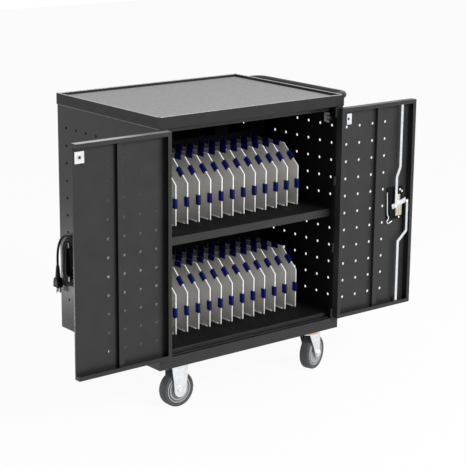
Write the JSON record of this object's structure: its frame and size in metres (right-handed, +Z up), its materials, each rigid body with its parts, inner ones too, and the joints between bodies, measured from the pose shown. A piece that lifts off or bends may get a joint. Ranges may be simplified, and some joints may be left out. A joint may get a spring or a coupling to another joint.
{
  "type": "laptop charging cart",
  "caption": "Steel cart on casters with perforated panels, hinged front doors with a rod lock, laptop bays on a shelf and floor, a rear power compartment, a push handle and a wound mains lead.",
  "frame": {"origin": "on the floor, under the middle of the cart's box with the front doors open and the mains lead left out", "axes": "+X towards the push handle, +Y towards the rear door, +Z up"},
  "size_m": [1.1708, 0.5154, 0.817],
  "materials": {
    "black_steel": "satin black powder coat",
    "mat": "grey fine-textured mat",
    "divider": "warm off-white, satin",
    "zinc": "bright zinc plate",
    "wheel": "dark grey rubber tread, light grey hub",
    "black_plastic": "matte black",
    "cord": "matte black sheath"
  },
  "bodies": {
    "cabinet": {"base_pan": "black_steel", "left_side_panel": "black_steel", "right_side_panel": "black_steel", "top_tray": "black_steel", "top_mat": "mat", "mid_shelf": "black_steel", "partition": "black_steel", "push_handle": "black_steel", "power_strip": "black_plastic", "door_catch": "zinc", "cord_gland": "black_plastic", "cord_cleat": "black_steel", "cord_hank": "cord", "cord_tail": "cord", "plug": "black_plastic", "rigid_front_fork": "zinc", "rigid_rear_fork": "zinc", "swivel_front_plate": "zinc", "swivel_rear_plate": "zinc", "upper_divider_01": "divider", "upper_divider_02": "divider", "upper_divider_03": "divider", "upper_divider_04": "divider", "upper_divider_05": "divider", "upper_divider_06": "divider", "upper_divider_07": "divider", "upper_divider_08": "divider", "upper_divider_09": "divider", "upper_divider_10": "divider", "upper_divider_11": "divider", "upper_divider_12": "divider", "upper_divider_13": "divider", "upper_divider_14": "divider", "lower_divider_01": "divider", "lower_divider_02": "divider", "lower_divider_03": "divider", "lower_divider_04": "divider", "lower_divider_05": "divider", "lower_divider_06": "divider", "lower_divider_07": "divider", "lower_divider_08": "divider", "lower_divider_09": "divider", "lower_divider_10": "divider", "lower_divider_11": "divider", "lower_divider_12": "divider", "lower_divider_13": "divider", "lower_divider_14": "divider"},
    "left_door": {"left_door": "black_steel"},
    "right_door": {"right_door": "black_steel", "lock_case": "black_plastic"},
    "rear_door": {"rear_door": "black_steel"},
    "lock_handle": {"lock_handle": "zinc"},
    "upper_rod": {"upper_rod": "zinc"},
    "lower_rod": {"lower_rod": "zinc"},
    "swivel_front": {"swivel_front_fork": "zinc"},
    "swivel_rear": {"swivel_rear_fork": "zinc"},
    "rigid_front_wheel": {"rigid_front_wheel": "wheel"},
    "rigid_rear_wheel": {"rigid_rear_wheel": "wheel"},
    "swivel_front_wheel": {"swivel_front_wheel": "wheel"},
    "swivel_rear_wheel": {"swivel_rear_wheel": "wheel"}
  },
  "joints": [
    {"name": "left_door_hinge", "type": "hinge", "parent": "cabinet", "child": "left_door", "pos_m": [-0.2932, -0.23518, 0.475], "axis": [0, 0, 1], "range_deg": [0, 180]},
    {"name": "right_door_hinge", "type": "hinge", "parent": "cabinet", "child": "right_door", "pos_m": [0.2932, -0.23518, 0.475], "axis": [0, 0, 1], "range_deg": [-180, 0]},
    {"name": "rear_door_hinge", "type": "hinge", "parent": "cabinet", "child": "rear_door", "pos_m": [0.2932, 0.25422, 0.475], "axis": [0, 0, 1], "range_deg": [-170, 0]},
    {"name": "lock_turn", "type": "hinge", "parent": "right_door", "child": "lock_handle", "pos_m": [0.5362, -0.24, 0.477], "axis": [0, 1, 0], "range_deg": [0, 90]},
    {"name": "upper_rod_slide", "type": "slide", "parent": "right_door", "child": "upper_rod", "axis": [0, 0, 1], "range_m": [0, 0.02]},
    {"name": "lower_rod_slide", "type": "slide", "parent": "right_door", "child": "lower_rod", "axis": [0, 0, -1], "range_m": [0, 0.02]},
    {"name": "swivel_front_turn", "type": "hinge", "parent": "cabinet", "child": "swivel_front", "pos_m": [0.2525, -0.18048, 0.11], "axis": [0, 0, 1], "continuous": true},
    {"name": "swivel_front_roll", "type": "hinge", "parent": "swivel_front", "child": "swivel_front_wheel", "pos_m": [0.27599, -0.17193, 0.05], "axis": [-0.342, 0.9397, 0], "continuous": true},
    {"name": "rigid_front_roll", "type": "hinge", "parent": "cabinet", "child": "rigid_front_wheel", "pos_m": [-0.225, -0.18048, 0.05], "axis": [0, 1, 0], "continuous": true},
    {"name": "swivel_rear_turn", "type": "hinge", "parent": "cabinet", "child": "swivel_rear", "pos_m": [0.2525, 0.19952, 0.11], "axis": [0, 0, 1], "continuous": true},
    {"name": "swivel_rear_roll", "type": "hinge", "parent": "swivel_rear", "child": "swivel_rear_wheel", "pos_m": [0.27599, 0.20807, 0.05], "axis": [-0.342, 0.9397, 0], "continuous": true},
    {"name": "rigid_rear_roll", "type": "hinge", "parent": "cabinet", "child": "rigid_rear_wheel", "pos_m": [-0.225, 0.19952, 0.05], "axis": [0, 1, 0], "continuous": true}
  ],
  "couplings": [
    {"joint": "upper_rod_slide", "follows": "lock_turn", "m_per_rad": 0.01273},
    {"joint": "lower_rod_slide", "follows": "lock_turn", "m_per_rad": 0.01273}
  ]
}
